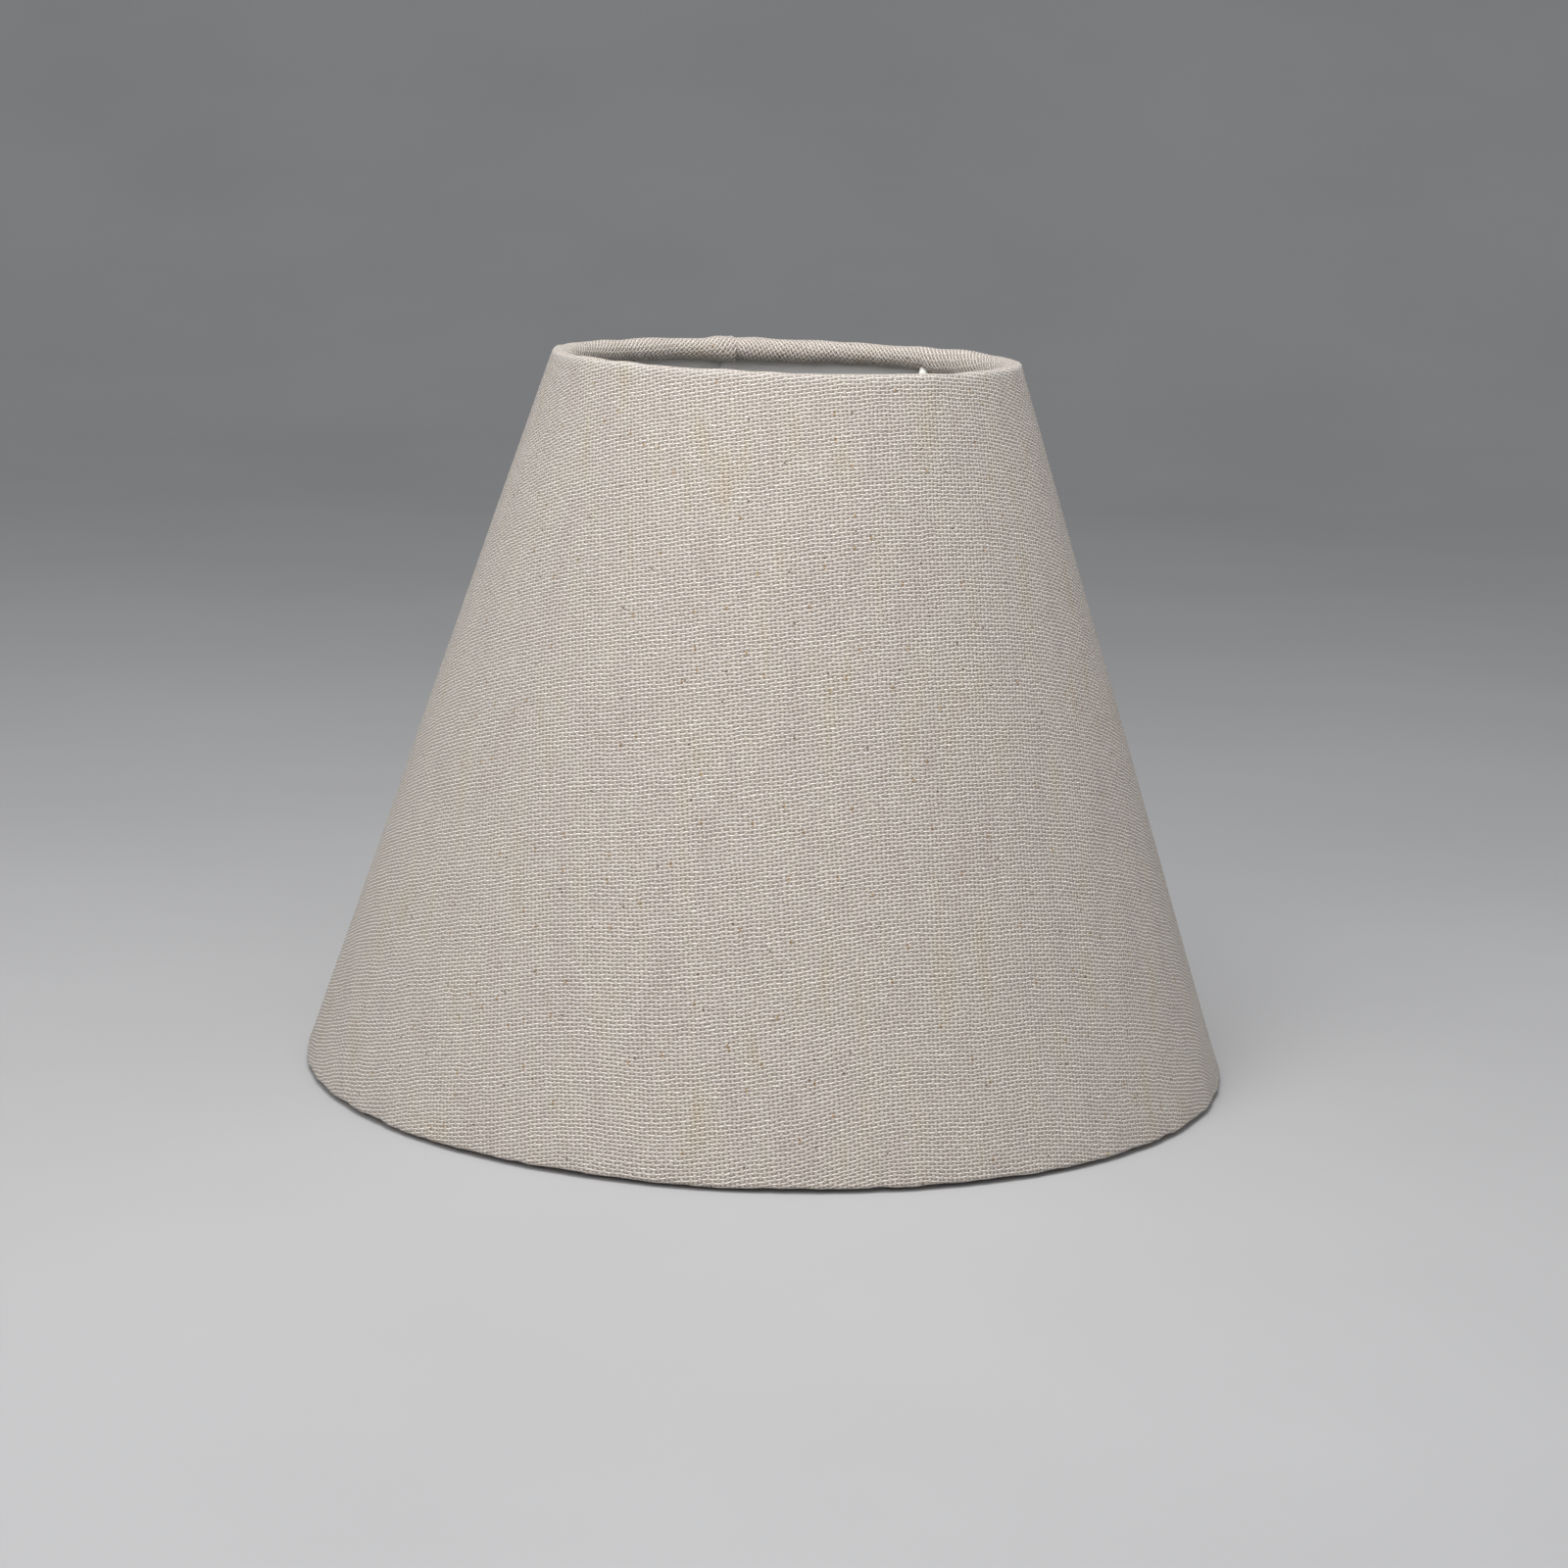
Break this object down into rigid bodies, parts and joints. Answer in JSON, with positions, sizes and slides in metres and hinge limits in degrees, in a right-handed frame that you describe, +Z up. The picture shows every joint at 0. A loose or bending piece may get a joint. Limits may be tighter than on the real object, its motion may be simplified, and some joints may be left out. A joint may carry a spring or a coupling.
{
  "type": "lamp shade",
  "caption": "Conical hard-backed lamp shade: plain-woven cloth on a plastic liner, rolled over wire rings, with a dropped three-armed spider and fitter ring.",
  "frame": {"origin": "on the shade's axis, in the plane that the bottom hem stands on", "axes": "+Z up the shade's axis, front towards -Y, seam down the back at azimuth 194.5 degrees counted from the front towards +X"},
  "size_m": [0.2538, 0.2538, 0.1986],
  "materials": {
    "cloth": "coarse undyed plain weave with flecks, matte",
    "liner": "white plastic film, soft sheen",
    "tape": "clear adhesive strip over white film",
    "enamelled_wire": "white enamel"
  },
  "bodies": {
    "root": {"fabric_cover": "cloth", "plastic_liner": "liner", "seam_tape": "tape", "top_wire_ring": "enamelled_wire", "bottom_wire_ring": "enamelled_wire", "fitter_ring": "enamelled_wire", "spider_arm_front": "enamelled_wire", "spider_arm_back": "enamelled_wire", "spider_arm_side": "enamelled_wire"}
  },
  "joints": []
}
